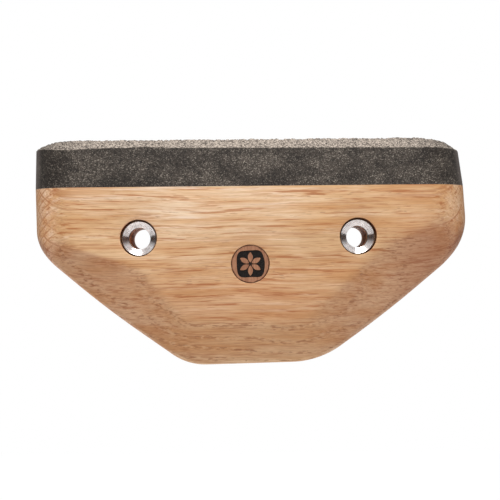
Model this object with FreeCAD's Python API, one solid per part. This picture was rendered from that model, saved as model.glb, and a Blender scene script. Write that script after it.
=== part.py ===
import FreeCAD, Part

import math
import os

from FreeCAD import Vector

# Climbing hold: an oak block with a dark stone finger edge bonded along its top.
# Two turned steel cups take the countersunk screws that hold it on the wall, and a
# small wooden plug is let into the face between them.
# All lengths are in millimetres. X runs to the right, Z runs up, the wall is the plane
# Y = 0 and the front faces -Y. The origin lies on the wall, midway between the two bores.

# Screw bores and the cups in them
bore_spacing = 114.4
bore_diameter = 11.4
cup_diameter = 17.8
cup_height = 8.0
cup_rim_width = 0.25
cup_cone_angle = 90.0
cup_foot_chamfer = 0.4
cup_recess = 1.2
cup_fit_clearance = 0.8

# The seats of the cups were drilled by hand, a hair outwards and upwards of the bores
seat_outward_offset = 0.35
seat_lift = 0.25

# Oak body as it is seen from the front. Heights are above the bores, reaches are
# to either side of the middle. The block was shaped by hand, so its ends differ.
body_depth = 46.0
joint_height = 27.0
left_joint_reach = 113.9
left_shoulder_reach = 113.3
left_shoulder_drop = 4.6
left_foot_reach = 32.5
left_foot_drop = 67.0
right_joint_reach = 115.6
right_shoulder_reach = 117.5
right_shoulder_drop = 2.8
right_foot_reach = 37.0
right_foot_drop = 65.5
left_shoulder_radius = 21.1
right_shoulder_radius = 35.3
left_foot_radius = 30.2
right_foot_radius = 45.8

# The slanted lower edges bow out a little. The shares say where, from shoulder to foot.
left_edge_bow = 2.2
right_edge_bow = 1.8
left_edge_bow_share = 0.5
right_edge_bow_share = 0.57
edge_bow_reach = 21.4

# What the bevel leaves of the flat front face. Its lower border starts high on the side
# walls, bends down at a knee beside each cup and meets two feet. Drops are below the joint.
left_flat_end_drop = 24.4
left_knee_reach = 53.7
left_knee_drop = 41.4
left_flat_foot_reach = 34.0
left_flat_foot_drop = 68.2
right_flat_end_drop = 12.3
right_knee_reach = 74.1
right_knee_drop = 25.1
right_flat_foot_reach = 26.6
right_flat_foot_drop = 70.1
flat_corner_reach = 8.0

# Shaping of the oak front: rounded ends, and the profile of the bevel at its usual width
end_radius = 22.0
bevel_width = 27.0
bevel_blend_width = 5.0
bevel_angle = 16.0
bevel_edge_radius = 3.5
back_edge_chamfer = 1.0

# Stone edge. Its rough top climbs from the front arris to the wall and drops at both ends.
left_arris_height = 20.9
right_arris_height = 19.4
stone_back_height = 28.4
left_stone_top_reach = 113.2
right_stone_top_reach = 111.6
left_stone_end_drop = 5.0
right_stone_end_drop = 7.0
stone_end_drop_width = 18.6
stone_end_drop_start = 0.6

# Badge plug
plug_diameter = 20.0
plug_thickness = 8.0
plug_offset = 0.9
plug_drop = 13.8
plug_recess = 0.2
plug_fit_clearance = 0.1
plug_edge_chamfer = 0.3

# How far a cutting tool runs past the face that it starts from
overrun = 5.0

# Depths of the sections that the front is lofted through, as shares of each stage
blend_depth_shares = (0.0, 0.04, 0.16, 0.36, 0.64, 1.0)
bevel_depth_shares = (0.35, 0.7, 1.0)
edge_depth_shares = (0.3, 0.6, 0.85, 1.0)
end_depth_shares = (0.25, 0.55, 1.0)

# The most of a line that the rounding of one of its two corners may take up
corner_room_share = 0.49


def crossing(point_a, direction_a, point_b, direction_b):
    """The point where two lines of the front view cross."""
    gap = point_b - point_a
    turn = direction_a.x * direction_b.z - direction_a.z * direction_b.x
    along = (gap.x * direction_b.z - gap.z * direction_b.x) / turn
    return point_a + direction_a * along


def bevel_slope():
    return math.tan(math.radians(bevel_angle))


def blend_depth():
    """Depth at which the soft start of the bevel has reached the bevel's full slope."""
    return bevel_blend_width * bevel_slope() / 2


def bevel_wall_depth():
    """Depth at which the bevel would meet the side wall if the edge were left sharp."""
    return blend_depth() + (bevel_width - bevel_blend_width) * bevel_slope()


def edge_tangent_length():
    """How far the rounded edge reaches from the sharp edge along the bevel and the wall."""
    return bevel_edge_radius * math.tan(math.radians(90 - bevel_angle) / 2)


def bevel_inset(depth):
    """How far a bevel of the usual width is drawn in at a depth behind the front face."""
    straight_end = bevel_wall_depth() - edge_tangent_length() * math.sin(math.radians(bevel_angle))
    wall_start = bevel_wall_depth() + edge_tangent_length()
    if depth <= blend_depth():
        return bevel_width - bevel_blend_width * math.sqrt(depth / blend_depth())
    if depth <= straight_end:
        return bevel_width - bevel_blend_width - (depth - blend_depth()) / bevel_slope()
    if depth <= wall_start:
        reach = wall_start - depth
        return bevel_edge_radius - math.sqrt(bevel_edge_radius ** 2 - reach ** 2)
    return 0


def end_inset(depth):
    """How far the left and right ends are drawn in at a depth behind the front face."""
    reach = end_radius - min(depth, end_radius)
    return end_radius - math.sqrt(end_radius ** 2 - reach ** 2)


def front_depths():
    """Depths of the loft sections, from the flat front face to the plain side walls."""
    straight_end = bevel_wall_depth() - edge_tangent_length() * math.sin(math.radians(bevel_angle))
    wall_start = bevel_wall_depth() + edge_tangent_length()
    depths = [blend_depth() * share for share in blend_depth_shares]
    depths += [blend_depth() + (straight_end - blend_depth()) * share for share in bevel_depth_shares]
    depths += [straight_end + (wall_start - straight_end) * share for share in edge_depth_shares]
    depths += [wall_start + (end_radius - wall_start) * share for share in end_depth_shares]
    return depths


def ruled_solid(outlines):
    """Solid with straight lines between matching edges of closed outlines, one after another."""
    faces = [Part.Face(Part.Wire(outlines[0])), Part.Face(Part.Wire(outlines[-1]))]
    for outline, next_outline in zip(outlines, outlines[1:]):
        for edge, next_edge in zip(outline, next_outline):
            faces.append(Part.makeRuledSurface(edge, next_edge, 1))
    skin = Part.makeShell(faces)
    skin.sewShape()
    solid = Part.makeSolid(skin)
    solid.fix(0, 0, 0)
    if solid.Volume < 0:
        solid.reverse()
    return solid


def corner_curve(start, corner, end):
    """Arc from start to end that touches both lines of a corner, flat if they form one line."""
    half_turn = (corner - start).getAngle(end - corner) / 2
    curve = Part.BezierCurve()
    curve.setPoles([start, corner, end])
    curve.setWeight(2, math.cos(half_turn))
    return curve


def arc_reach(radius, before, corner, after):
    """How far an arc of a radius reaches from a corner along its two lines."""
    half_turn = (corner - before).getAngle(after - corner) / 2
    return radius * math.tan(half_turn)


def bowed_point(shoulder, foot, along_share, bow):
    """Point outside the line from shoulder to foot, where the slanted edge bends."""
    run = foot - shoulder
    outward = Vector(run.z, 0, -run.x).normalize() * math.copysign(bow, run.x)
    return shoulder + run * along_share + outward


def body_outline(depth, end_in, flat_share):
    """Edges of the front-view outline at a depth.

    The side walls are drawn in by end_in. The lower corners lie on the way from the block's
    outer edges, at a flat_share of zero, to the border of its flat face, at one.
    """
    y = depth - body_depth
    joint_left = Vector(-left_joint_reach, y, joint_height)
    shoulder_left = Vector(-left_shoulder_reach, y, -left_shoulder_drop)
    foot_left = Vector(-left_foot_reach, y, -left_foot_drop)
    foot_right = Vector(right_foot_reach, y, -right_foot_drop)
    shoulder_right = Vector(right_shoulder_reach, y, -right_shoulder_drop)
    joint_right = Vector(right_joint_reach, y, joint_height)
    bend_left = bowed_point(shoulder_left, foot_left, left_edge_bow_share, left_edge_bow)
    bend_right = bowed_point(shoulder_right, foot_right, right_edge_bow_share, right_edge_bow)
    outer_corners = [shoulder_left, bend_left, foot_left, foot_right, bend_right, shoulder_right]
    flat_corners = [
        Vector(-left_shoulder_reach, y, joint_height - left_flat_end_drop),
        Vector(-left_knee_reach, y, joint_height - left_knee_drop),
        Vector(-left_flat_foot_reach, y, joint_height - left_flat_foot_drop),
        Vector(right_flat_foot_reach, y, joint_height - right_flat_foot_drop),
        Vector(right_knee_reach, y, joint_height - right_knee_drop),
        Vector(right_shoulder_reach, y, joint_height - right_flat_end_drop),
    ]
    corners = [outer + (flat - outer) * flat_share for outer, flat in zip(outer_corners, flat_corners)]

    # The drawn-in side walls move the first and the last corner along their lines
    top_left = joint_left + Vector(end_in, 0, 0)
    top_right = joint_right - Vector(end_in, 0, 0)
    left_wall = shoulder_left - joint_left
    right_wall = shoulder_right - joint_right
    corners[0] = crossing(top_left, left_wall, corners[0], corners[1] - corners[0])
    corners[-1] = crossing(top_right, right_wall, corners[-1], corners[-2] - corners[-1])

    outer_reaches = [
        arc_reach(left_shoulder_radius, joint_left, shoulder_left, bend_left),
        edge_bow_reach,
        arc_reach(left_foot_radius, bend_left, foot_left, foot_right),
        arc_reach(right_foot_radius, foot_left, foot_right, bend_right),
        edge_bow_reach,
        arc_reach(right_shoulder_radius, bend_right, shoulder_right, joint_right),
    ]
    pieces = []
    pen = top_left
    befores = [top_left] + corners[:-1]
    afters = corners[1:] + [top_right]
    for before, corner, after, outer_reach in zip(befores, corners, afters, outer_reaches):
        way_in = corner - before
        way_out = after - corner
        room = min(way_in.Length, way_out.Length) * corner_room_share
        reach = min(outer_reach + (flat_corner_reach - outer_reach) * flat_share, room)
        start = corner - way_in.normalize() * reach
        end = corner + way_out.normalize() * reach
        pieces.append(Part.LineSegment(pen, start).toShape())
        pieces.append(corner_curve(start, corner, end).toShape())
        pen = end
    pieces.append(Part.LineSegment(pen, top_right).toShape())
    pieces.append(Part.LineSegment(top_right, top_left).toShape())
    return pieces


def bore_centres():
    return [-bore_spacing / 2, bore_spacing / 2]


def make_oak_body():
    """Shaped block: bevelled front, plain side walls, eased back edge, bores and pockets."""
    sections = []
    for depth in front_depths():
        sections.append(body_outline(depth, end_inset(depth), bevel_inset(depth) / bevel_width))
    sections.append(body_outline(body_depth - back_edge_chamfer, 0, 0))
    sections.append(body_outline(body_depth, back_edge_chamfer, back_edge_chamfer / bevel_width))
    body = ruled_solid(sections)

    seat_diameter = cup_diameter + 2 * cup_fit_clearance
    seat_floor = cup_recess + cup_height
    for x in bore_centres():
        body = body.cut(front_cylinder(x, 0, bore_diameter, -overrun, body_depth + overrun))
        seat_x = x + math.copysign(seat_outward_offset, x)
        body = body.cut(front_cylinder(seat_x, seat_lift, seat_diameter, -overrun, seat_floor))
    pocket_diameter = plug_diameter + 2 * plug_fit_clearance
    pocket_floor = plug_recess + plug_thickness
    body = body.cut(front_cylinder(plug_offset, -plug_drop, pocket_diameter, -overrun, pocket_floor))
    return body


def front_cylinder(x, z, diameter, from_depth, to_depth):
    """Round tool square to the wall, between two depths behind the front face."""
    start = Vector(x, from_depth - body_depth, z)
    return Part.makeCylinder(diameter / 2, to_depth - from_depth, start, Vector(0, 1, 0))


def stone_reach_at(height, joint_reach, top_reach):
    """Reach of the stone's leaning end at a height above the bores."""
    return joint_reach + (top_reach - joint_reach) * (height - joint_height) / stone_back_height


def stone_plan(height):
    """Edges of the stone's outline from above at a height, with rounded front corners."""
    left = -stone_reach_at(height, left_joint_reach, left_stone_top_reach)
    right = stone_reach_at(height, right_joint_reach, right_stone_top_reach)
    front = -body_depth
    corner_in = end_radius - end_radius * math.sin(math.radians(45))
    chamfer = back_edge_chamfer
    left_arc = Part.Arc(
        Vector(left, front + end_radius, height),
        Vector(left + corner_in, front + corner_in, height),
        Vector(left + end_radius, front, height),
    )
    right_arc = Part.Arc(
        Vector(right - end_radius, front, height),
        Vector(right - corner_in, front + corner_in, height),
        Vector(right, front + end_radius, height),
    )
    points = [
        Vector(right, front + end_radius, height),
        Vector(right, -chamfer, height),
        Vector(right - chamfer, 0, height),
        Vector(left + chamfer, 0, height),
        Vector(left, -chamfer, height),
        Vector(left, front + end_radius, height),
    ]
    pieces = [left_arc.toShape()]
    pieces.append(Part.LineSegment(left_arc.EndPoint, right_arc.StartPoint).toShape())
    pieces.append(right_arc.toShape())
    for start, end in zip(points, points[1:]):
        pieces.append(Part.LineSegment(start, end).toShape())
    return pieces


def end_drop_curve(outer, inner):
    """Quarter ellipse that rises from the low outer point and levels out at the inner one."""
    return corner_curve(outer, Vector(outer.x, outer.y, inner.z), inner)


def stone_top_outline(depth):
    """Edges of a front-view outline of the space below the stone's top, at a depth."""
    y = depth - body_depth
    depth_share = depth / body_depth
    left_top = joint_height + left_arris_height + (stone_back_height - left_arris_height) * depth_share
    right_top = joint_height + right_arris_height + (stone_back_height - right_arris_height) * depth_share
    left_low = left_top - left_stone_end_drop
    right_low = right_top - right_stone_end_drop
    left = -stone_reach_at(left_low, left_joint_reach, left_stone_top_reach) - stone_end_drop_start
    right = stone_reach_at(right_low, right_joint_reach, right_stone_top_reach) + stone_end_drop_start
    floor = joint_height - overrun

    left_outer = Vector(left, y, left_low)
    left_inner = Vector(left + stone_end_drop_width, y, left_top)
    right_inner = Vector(right - stone_end_drop_width, y, right_top)
    right_outer = Vector(right, y, right_low)
    around = [
        right_outer,
        Vector(right + overrun, y, right_low),
        Vector(right + overrun, y, floor),
        Vector(left - overrun, y, floor),
        Vector(left - overrun, y, left_low),
        left_outer,
    ]
    pieces = [end_drop_curve(left_outer, left_inner).toShape()]
    pieces.append(Part.LineSegment(left_inner, right_inner).toShape())
    pieces.append(end_drop_curve(right_outer, right_inner).toShape())
    for start, end in zip(around, around[1:]):
        pieces.append(Part.LineSegment(start, end).toShape())
    return pieces


def make_stone_edge():
    """Slab whose ends carry on the oak's rounded ends, cut off by its climbing top."""
    headroom = joint_height + stone_back_height + overrun
    slab = ruled_solid([stone_plan(joint_height), stone_plan(headroom)])
    below_top = ruled_solid([stone_top_outline(-overrun), stone_top_outline(body_depth + overrun)])
    return slab.common(below_top)


def make_screw_cup(x):
    """Turned cup: a straight outside, a cone for the screw head and a plain bore."""
    outer = cup_diameter / 2
    bore = bore_diameter / 2
    cone_top = outer - cup_rim_width
    cone_depth = (cone_top - bore) / math.tan(math.radians(cup_cone_angle / 2))
    face = cup_recess - body_depth
    foot = face + cup_height
    profile = Part.makePolygon([
        Vector(x + bore, face + cone_depth, 0),
        Vector(x + cone_top, face, 0),
        Vector(x + outer, face, 0),
        Vector(x + outer, foot - cup_foot_chamfer, 0),
        Vector(x + outer - cup_foot_chamfer, foot, 0),
        Vector(x + bore, foot, 0),
        Vector(x + bore, face + cone_depth, 0),
    ])
    return Part.Face(profile).revolve(Vector(x, 0, 0), Vector(0, 1, 0), 360)


def make_badge_plug():
    """Plain round plug with an eased rim, glued into its pocket a hair below the face."""
    plug = front_cylinder(plug_offset, -plug_drop, plug_diameter, plug_recess, plug_recess + plug_thickness)
    front_rim = min(plug.Edges, key=lambda edge: edge.CenterOfMass.y)
    return plug.makeChamfer(plug_edge_chamfer, [front_rim])


def main():
    os.makedirs("parts", exist_ok=True)
    left_x, right_x = bore_centres()
    nodes = {
        "oak_body": make_oak_body(),
        "stone_edge": make_stone_edge(),
        "left_screw_cup": make_screw_cup(left_x),
        "right_screw_cup": make_screw_cup(right_x),
        "badge_plug": make_badge_plug(),
    }
    for name, shape in nodes.items():
        shape.exportStep(f"parts/{name}.step")
        print(f"{name}: valid {shape.isValid()}, {len(shape.Solids)} solid, {shape.Volume:.0f} mm3")


main()
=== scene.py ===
"""Looks of a climbing hold: oak block, bonded stone edge, turned screw cups, badge plug.

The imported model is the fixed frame. Every class builds one sub-assembly round it. Shapes are
worked out in millimetres, as on the drawing, and turned into metres when a mesh is made.
X runs to the right, Z runs up, the wall is the plane Y = 0 and the front faces -Y.
"""

import logging
import math
from collections.abc import Callable, Sequence
from dataclasses import dataclass, field, replace
from enum import Enum

import bmesh
import bpy
import numpy as np
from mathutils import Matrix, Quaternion, Vector
from mathutils import noise as space_noise
from mathutils.geometry import delaunay_2d_cdt


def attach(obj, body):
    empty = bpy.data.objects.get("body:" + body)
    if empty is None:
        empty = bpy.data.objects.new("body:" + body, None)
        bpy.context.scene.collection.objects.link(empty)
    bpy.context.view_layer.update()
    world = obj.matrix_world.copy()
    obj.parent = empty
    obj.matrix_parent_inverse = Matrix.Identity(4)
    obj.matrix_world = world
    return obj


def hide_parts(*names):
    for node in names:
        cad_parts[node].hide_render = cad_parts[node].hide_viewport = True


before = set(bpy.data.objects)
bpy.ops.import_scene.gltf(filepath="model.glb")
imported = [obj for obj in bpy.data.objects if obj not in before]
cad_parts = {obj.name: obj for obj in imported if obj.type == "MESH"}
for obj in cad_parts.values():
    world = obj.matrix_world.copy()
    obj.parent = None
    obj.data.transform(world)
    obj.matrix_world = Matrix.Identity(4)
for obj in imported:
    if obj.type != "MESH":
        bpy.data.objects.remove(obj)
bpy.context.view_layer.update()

log = logging.getLogger("climbing_hold")

MM = 0.001
BODY = "root"

# Points closer than this, in millimetres, count as one when a flat area is filled.
MERGE_GAP = 1e-5
# Direction in which a noise is shifted to set it apart from others of its size.
SHIFT_WAY = (1.0, 1.7, 2.3)

Colour = tuple[float, float, float]
Point = tuple[float, float, float]
Flat = tuple[float, float]
Span = tuple[float, float]
Pulse = tuple[float, float, float, float]


class Slot(Enum):
    """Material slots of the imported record."""

    OAK = "oak"
    STONE = "stone"
    STEEL = "turned_steel"
    PLUG = "plug_wood"


class Side(Enum):
    """Which end of the hold a piece belongs to, and its sign along X."""

    LEFT = -1
    RIGHT = 1


class Signal:
    """One output socket of a node, so that shader maths reads as a Python expression."""

    def __init__(self, graph: "Graph", socket: bpy.types.NodeSocket) -> None:
        """Keep the graph and its output socket together."""
        self.graph = graph
        self.socket = socket

    def __add__(self, other: "Signal | float") -> "Signal":
        """Sum."""
        return self.graph.maths("ADD", self, other)

    def __radd__(self, other: float) -> "Signal":
        """Sum with a number on the left."""
        return self.graph.maths("ADD", other, self)

    def __sub__(self, other: "Signal | float") -> "Signal":
        """Difference."""
        return self.graph.maths("SUBTRACT", self, other)

    def __rsub__(self, other: float) -> "Signal":
        """Difference with a number on the left."""
        return self.graph.maths("SUBTRACT", other, self)

    def __mul__(self, other: "Signal | float") -> "Signal":
        """Product."""
        return self.graph.maths("MULTIPLY", self, other)

    def __rmul__(self, other: float) -> "Signal":
        """Product with a number on the left."""
        return self.graph.maths("MULTIPLY", other, self)

    def __truediv__(self, other: "Signal | float") -> "Signal":
        """Quotient."""
        return self.graph.maths("DIVIDE", self, other)

    def __pow__(self, other: float) -> "Signal":
        """Power."""
        return self.graph.maths("POWER", self, other)

    def __abs__(self) -> "Signal":
        """Absolute value."""
        return self.graph.maths("ABSOLUTE", self)

    def rise(self, low: float, high: float) -> "Signal":
        """Smooth step from 0 at low to 1 at high; high below low makes it fall.

        Args:
            low: Value at which the result is 0.
            high: Value at which the result is 1.

        Returns:
            The eased share between 0 and 1.
        """
        limits = {0: self, 1: min(low, high), 2: max(low, high)}
        settings = {"interpolation_type": "SMOOTHSTEP"}
        step = self.graph.node("ShaderNodeMapRange", settings, limits, "Result")
        return 1 - step if high < low else step

    def pulse(self, start: float, full: float, fading: float, end: float) -> "Signal":
        """Mask that rises from start to full and falls again from fading to end."""
        return self.rise(start, full) * self.rise(end, fading)

    def between(self, low: float, high: float) -> "Signal":
        """Value that goes from low to high as this mask goes from 0 to 1."""
        return low + self * (high - low)


@dataclass(frozen=True)
class Pattern:
    """A noise of a finish.

    It holds the lengths of its lumps along the three axes in millimetres, the number of finer
    layers and the strength of each, a shift that sets it apart from others of its size, and
    the values between which it begins to show.
    """

    size: Point
    layers: float = 1.0
    roughness: float = 0.5
    shift: float = 0.0
    shows: Span = (0.0, 1.0)


class Graph:
    """A node tree that is being drawn up."""

    def __init__(self, tree: bpy.types.NodeTree) -> None:
        """Start from an empty tree."""
        self.tree = tree
        tree.nodes.clear()

    def node(
        self,
        kind: str,
        settings: dict[str, object],
        inputs: dict[str | int, object],
        output: str | int = 0,
    ) -> Signal:
        """Add any node.

        Args:
            kind: Node type.
            settings: Properties that are set first, such as an operation.
            inputs: Values or signals by socket name or number.
            output: Output socket that is wanted.

        Returns:
            The signal of that output.
        """
        made = self.tree.nodes.new(kind)
        for name, value in settings.items():
            setattr(made, name, value)
        for key, value in inputs.items():
            if isinstance(value, Signal):
                self.tree.links.new(value.socket, made.inputs[key])
            else:
                made.inputs[key].default_value = value
        return Signal(self, made.outputs[output])

    def maths(self, operation: str, *operands: Signal | float) -> Signal:
        """Add a Math node."""
        return self.node("ShaderNodeMath", {"operation": operation}, dict(enumerate(operands)))

    def larger(self, first: Signal, second: Signal) -> Signal:
        """The larger of two values."""
        return self.maths("MAXIMUM", first, second)

    def times(self, vector: Signal, factors: object) -> Signal:
        """Multiply a vector or colour, axis by axis, by another one."""
        operation = {"operation": "MULTIPLY"}
        return self.node("ShaderNodeVectorMath", operation, {0: vector, 1: factors})

    def position(self) -> Signal:
        """Point on the piece in the frame of the drawing, in millimetres."""
        metres = self.node("ShaderNodeTexCoord", {}, {}, "Object")
        return self.times(metres, (1 / MM, 1 / MM, 1 / MM))

    def normal(self) -> tuple[Signal, Signal, Signal]:
        """Way that the surface faces, as X, Y and Z parts."""
        return self.axes(self.node("ShaderNodeNewGeometry", {}, {}, "Normal"))

    def painted(self, name: str) -> Signal:
        """Value that was painted on the points of the mesh."""
        return self.node("ShaderNodeAttribute", {"attribute_name": name}, {}, "Fac")

    def ray(self, kind: str) -> Signal:
        """1 for light rays of one kind, 0 for others."""
        return self.node("ShaderNodeLightPath", {}, {}, f"Is {kind} Ray")

    def axes(self, vector: Signal) -> tuple[Signal, Signal, Signal]:
        """Split a vector.

        Args:
            vector: The vector to split.

        Returns:
            Its X, Y and Z parts.
        """
        split = self.node("ShaderNodeSeparateXYZ", {}, {0: vector}).socket.node
        x, y, z = (Signal(self, socket) for socket in split.outputs)
        return x, y, z

    def vector(self, x: Signal | float, y: Signal | float, z: Signal | float) -> Signal:
        """Join three values into a vector."""
        return self.node("ShaderNodeCombineXYZ", {}, {0: x, 1: y, 2: z})

    def noise(self, at: Signal, pattern: Pattern, output: str = "Fac") -> Signal:
        """Noise around 0.5.

        Args:
            at: Position in millimetres.
            pattern: Sizes and layers of the noise.
            output: "Fac" for a value, "Color" for three of them.

        Returns:
            The value or the colour.
        """
        scaled = self.times(at, tuple(1 / length for length in pattern.size))
        shift = tuple(pattern.shift * part for part in SHIFT_WAY)
        moved = self.node("ShaderNodeVectorMath", {"operation": "ADD"}, {0: scaled, 1: shift})
        inputs = {
            "Vector": moved,
            "Scale": 1.0,
            "Detail": pattern.layers,
            "Roughness": pattern.roughness,
        }
        return self.node("ShaderNodeTexNoise", {"noise_dimensions": "3D"}, inputs, output)

    def patches(self, at: Signal, pattern: Pattern) -> Signal:
        """Mask of the places where a noise shows."""
        return self.noise(at, pattern).rise(*pattern.shows)

    def mix(self, share: Signal, first: object, second: object) -> Signal:
        """Mix two colours.

        Args:
            share: Share of the second colour.
            first: Colour or signal.
            second: Colour or signal.

        Returns:
            The mixed colour.
        """
        first, second = (
            value if isinstance(value, Signal) else (*value, 1.0) for value in (first, second)
        )
        inputs = {0: share, 6: first, 7: second}
        return self.node("ShaderNodeMix", {"data_type": "RGBA"}, inputs, 2)

    def lay(self, colour: Signal, layers: Sequence[tuple[Signal, Colour]]) -> Signal:
        """Lay colours over one another.

        Args:
            colour: The lowest colour.
            layers: Share and colour of each layer, from the lowest up.

        Returns:
            The colour that shows.
        """
        for share, tone in layers:
            colour = self.mix(share, colour, tone)
        return colour

    def shade(self, colour: Signal, factor: Signal) -> Signal:
        """Make a colour darker or lighter without changing its hue."""
        return self.times(colour, self.vector(factor, factor, factor))

    def bump(self, height: Signal, depth: float) -> Signal:
        """Normal of a fine relief; its depth is in millimetres."""
        inputs = {"Height": height, "Distance": depth * MM, "Strength": 1.0}
        return self.node("ShaderNodeBump", {}, inputs, "Normal")

    def surface(self, inputs: dict[str, object]) -> None:
        """Finish a material with one Principled shader."""
        self.finish("ShaderNodeOutputMaterial", self.node("ShaderNodeBsdfPrincipled", {}, inputs))

    def finish(self, kind: str, shader: Signal) -> None:
        """End the tree in its output node."""
        output = self.tree.nodes.new(kind)
        self.tree.links.new(shader.socket, output.inputs["Surface"])


def new_graph(name: str) -> tuple[bpy.types.Material, Graph]:
    """Make an empty node material.

    Args:
        name: Name of the material.

    Returns:
        The material and its graph.
    """
    material = bpy.data.materials.new(name)
    material.use_nodes = True
    return material, Graph(material.node_tree)


def put_in_scene(name: str, data: bpy.types.ID) -> bpy.types.Object:
    """Make an object of a mesh, light or camera.

    Args:
        name: Name of the object.
        data: What it shows.

    Returns:
        The new object, linked to the scene.
    """
    item = bpy.data.objects.new(name, data)
    bpy.context.scene.collection.objects.link(item)
    return item


def encloses(shape: list[Flat], x: float, z: float) -> bool:
    """Whether a closed outline of the front view goes round a point.

    Args:
        shape: Corners of the outline.
        x: Place of the point along X.
        z: Place of the point along Z.

    Returns:
        True if the point lies inside.
    """
    inside = False
    for (ax, az), (bx, bz) in zip(shape, shape[1:] + shape[:1]):
        if (az > z) != (bz > z) and x < ax + (bx - ax) * (z - az) / (bz - az):
            inside = not inside
    return inside


@dataclass
class Skin:
    """Points in millimetres and faces of one piece while it is being built."""

    points: list[Point] = field(default_factory=list)
    faces: list[tuple[int, ...]] = field(default_factory=list)

    def loop(self, points: Sequence[Sequence[float]]) -> list[int]:
        """Add points.

        Args:
            points: The new points in order.

        Returns:
            Their numbers.
        """
        start = len(self.points)
        self.points.extend(tuple(float(value) for value in point) for point in points)
        return list(range(start, len(self.points)))

    def bridge(self, first: list[int], second: list[int], closed: bool = True) -> None:
        """Join two rows of as many points with quads.

        Args:
            first: Point numbers of one row.
            second: Point numbers of the other row.
            closed: True if the rows are rings.
        """
        count = len(first)
        for i in range(count if closed else count - 1):
            j = (i + 1) % count
            self.faces.append((first[i], first[j], second[j], second[i]))

    def loft(self, rows: list[list[int]], closed: bool = True) -> None:
        """Join each row of points to the next one.

        Args:
            rows: Point numbers of the rows in order.
            closed: True if the rows are rings.
        """
        for row, next_row in zip(rows, rows[1:]):
            self.bridge(row, next_row, closed)

    def fill(self, outer: list[int], open_lines: list[list[int]]) -> None:
        """Fill the flat area inside one line and outside all the others.

        Args:
            outer: Point numbers of the line round the area.
            open_lines: Point numbers of each line whose inside is left open.
        """
        numbers: list[int] = []
        edges: list[tuple[int, int]] = []
        for line in (outer, *open_lines):
            start, count = len(numbers), len(line)
            numbers += line
            edges += [(start + i, start + (i + 1) % count) for i in range(count)]
        flat = [Vector(self._front_view(number)) for number in numbers]
        _, _, triangles, sources, _, _ = delaunay_2d_cdt(flat, edges, [], 1, MERGE_GAP)
        shapes = [[self._front_view(number) for number in line] for line in open_lines]
        for triangle in triangles:
            corners = [numbers[sources[corner][0]] for corner in triangle]
            x, z = np.mean([self._front_view(corner) for corner in corners], axis=0)
            if not any(encloses(shape, x, z) for shape in shapes):
                self.faces.append(tuple(corners))

    def _front_view(self, number: int) -> Flat:
        """Place of a point in the front view."""
        return self.points[number][0], self.points[number][2]

    def build(self, name: str, material: bpy.types.Material, crease: float) -> bpy.types.Object:
        """Turn the skin into a closed mesh object.

        Args:
            name: Name of the object.
            material: Material that it wears.
            crease: Angle in degrees above which an edge stays sharp.

        Returns:
            The new object, in metres, linked to the scene.
        """
        mesh = bpy.data.meshes.new(name)
        mesh.from_pydata([tuple(c * MM for c in point) for point in self.points], [], self.faces)
        mesh.validate()
        shaped = bmesh.new()
        shaped.from_mesh(mesh)
        bmesh.ops.recalc_face_normals(shaped, faces=shaped.faces)
        shaped.to_mesh(mesh)
        shaped.free()
        mesh.shade_smooth()
        mesh.set_sharp_from_angle(angle=math.radians(crease))
        mesh.materials.append(material)
        return put_in_scene(name, mesh)


def paint(piece: bpy.types.Object, name: str, values: list[float]) -> None:
    """Give every point of a piece a value that its finish reads."""
    layer = piece.data.attributes.new(name, "FLOAT", "POINT")
    layer.data.foreach_set("value", values)


def ring(x: float, z: float, radius: float, y: float, count: int) -> list[Point]:
    """Points of a circle about (x, z) that faces the front at the depth y."""
    turns = [2 * math.pi * i / count for i in range(count)]
    return [(x + radius * math.cos(t), y, z + radius * math.sin(t)) for t in turns]


def crossing(point: Vector, direction: Vector, other: Vector, other_direction: Vector) -> Vector:
    """Where two lines of the front view cross.

    Args:
        point: Point of the first line.
        direction: Its direction.
        other: Point of the second line.
        other_direction: Its direction.

    Returns:
        The crossing.
    """
    gap = other - point
    turn = direction.x * other_direction.y - direction.y * other_direction.x
    along = (gap.x * other_direction.y - gap.y * other_direction.x) / turn
    return point + direction * along


def settle(piece: bpy.types.Object, node: str) -> None:
    """Mount a finished piece on the frame in place of its CAD node.

    Args:
        piece: The finished piece.
        node: CAD node that it stands for.
    """
    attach(piece, BODY)
    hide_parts(node)
    log.info("%s: %d faces, stands for %s", piece.name, len(piece.data.polygons), node)


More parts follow.
